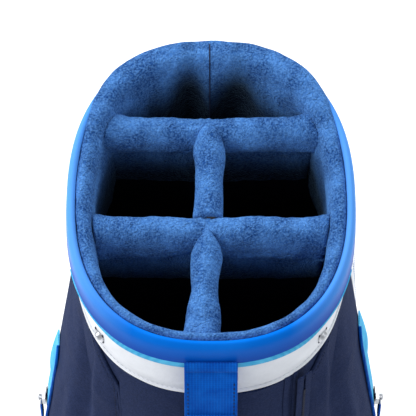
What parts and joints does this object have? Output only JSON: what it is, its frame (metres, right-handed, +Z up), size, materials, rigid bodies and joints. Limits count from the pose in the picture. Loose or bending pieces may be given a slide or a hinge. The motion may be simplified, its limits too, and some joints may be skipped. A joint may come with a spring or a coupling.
{
  "type": "golf bag",
  "caption": "Golf bag with a padded five-way top, side, front and ball pockets, zippers, lift handles and a padded shoulder strap.",
  "frame": {"origin": "centre of the sole's flat underside", "axes": "+Z up, -Y towards the front with the lift handle, +X towards the side with the shoulder strap"},
  "size_m": [0.3612, 0.3774, 0.8834],
  "materials": {
    "band_blue": "satin",
    "plush_blue": "matte",
    "navy": "matte",
    "white": "satin",
    "cyan": "matte",
    "webbing_blue": "matte",
    "chrome": "polished",
    "black_plastic": "satin",
    "black_nylon": "matte",
    "rubber": "matte",
    "foam": "matte",
    "fibreglass": "satin"
  },
  "bodies": {
    "bag": {"base_sole": "rubber", "base_cup": "black_plastic", "base_pad": "foam", "body_wrap": "navy", "stay_right": "fibreglass", "stay_left": "fibreglass", "stay_rear": "fibreglass", "top_frame": "black_plastic", "cuff_band": "band_blue", "cuff_lining": "plush_blue", "divider_rear": "plush_blue", "divider_front": "plush_blue", "divider_centre_rear": "plush_blue", "divider_centre_front": "plush_blue", "divider_sheet_rear": "black_nylon", "divider_sheet_front": "black_nylon", "divider_sheet_centre_rear": "black_nylon", "divider_sheet_centre_front": "black_nylon", "yoke": "white", "cuff_piping": "cyan", "snap_stud_left": "chrome", "snap_stud_right": "chrome", "side_pocket_left": "navy", "side_pocket_right": "navy", "pocket_gusset_left": "cyan", "pocket_gusset_right": "cyan", "pocket_piping_left": "webbing_blue", "pocket_piping_right": "webbing_blue", "front_pocket": "navy", "ball_pocket": "navy", "side_left_zip_track": "black_nylon", "side_right_zip_track": "black_nylon", "front_zip_track": "black_nylon", "ball_zip_track": "black_nylon", "front_handle": "webbing_blue", "spine_handle": "webbing_blue", "spine_panel": "navy", "strap_tab_upper": "navy", "strap_tab_lower": "navy", "strap_ring_upper": "chrome", "strap_ring_lower": "chrome", "strap_hook_upper": "chrome", "strap_hook_lower": "chrome", "towel_tab": "navy"},
    "side_left_slider": {"side_left_zip_slider": "chrome"},
    "side_left_pull": {"side_left_zip_pull": "black_plastic"},
    "side_right_slider": {"side_right_zip_slider": "chrome"},
    "side_right_pull": {"side_right_zip_pull": "black_plastic"},
    "front_slider": {"front_zip_slider": "chrome"},
    "front_pull": {"front_zip_pull": "black_plastic"},
    "ball_slider": {"ball_zip_slider": "chrome"},
    "ball_pull": {"ball_zip_pull": "black_plastic"},
    "strap": {"shoulder_strap": "white", "strap_webbing_upper": "navy", "strap_webbing_lower": "navy", "strap_eye_upper": "chrome", "strap_eye_lower": "chrome"},
    "adjuster": {"strap_adjuster": "black_plastic"},
    "towel_ring": {"towel_ring": "chrome"}
  },
  "joints": [
    {"name": "side_left_zip", "type": "slide", "parent": "bag", "child": "side_left_slider", "axis": [0, 0, -1], "range_m": [0, 0.275]},
    {"name": "side_left_pull_hinge", "type": "hinge", "parent": "side_left_slider", "child": "side_left_pull", "pos_m": [-0.178, 0.008, 0.4173], "axis": [0, 1, 0], "range_deg": [0, 110]},
    {"name": "side_right_zip", "type": "slide", "parent": "bag", "child": "side_right_slider", "axis": [0, 0, -1], "range_m": [0, 0.275]},
    {"name": "side_right_pull_hinge", "type": "hinge", "parent": "side_right_slider", "child": "side_right_pull", "pos_m": [0.178, 0.008, 0.4173], "axis": [0, -1, 0], "range_deg": [0, 110]},
    {"name": "front_zip", "type": "slide", "parent": "bag", "child": "front_slider", "axis": [0, 0, 1], "range_m": [0, 0.27]},
    {"name": "front_pull_hinge", "type": "hinge", "parent": "front_slider", "child": "front_pull", "pos_m": [0.09024, -0.13132, 0.4223], "axis": [-0.8072, -0.5903, 0], "range_deg": [0, 110]},
    {"name": "ball_zip", "type": "slide", "parent": "bag", "child": "ball_slider", "axis": [-1, 0, 0], "range_m": [0, 0.095]},
    {"name": "ball_pull_hinge", "type": "hinge", "parent": "ball_slider", "child": "ball_pull", "pos_m": [0.0473, -0.1946, 0.3], "axis": [0, 0, 1], "range_deg": [0, 110]},
    {"name": "strap_swing", "type": "hinge", "parent": "bag", "child": "strap", "pos_m": [0.121, 0.078, 0.46], "axis": [0, 0, 1], "range_deg": [0, 50]},
    {"name": "strap_adjust", "type": "slide", "parent": "strap", "child": "adjuster", "axis": [-0.1095, 0, -0.994], "range_m": [0, 0.065]},
    {"name": "towel_ring_hinge", "type": "hinge", "parent": "bag", "child": "towel_ring", "pos_m": [-0.121, 0.078, 0.7], "axis": [0, 1, 0], "range_deg": [0, 110]}
  ]
}
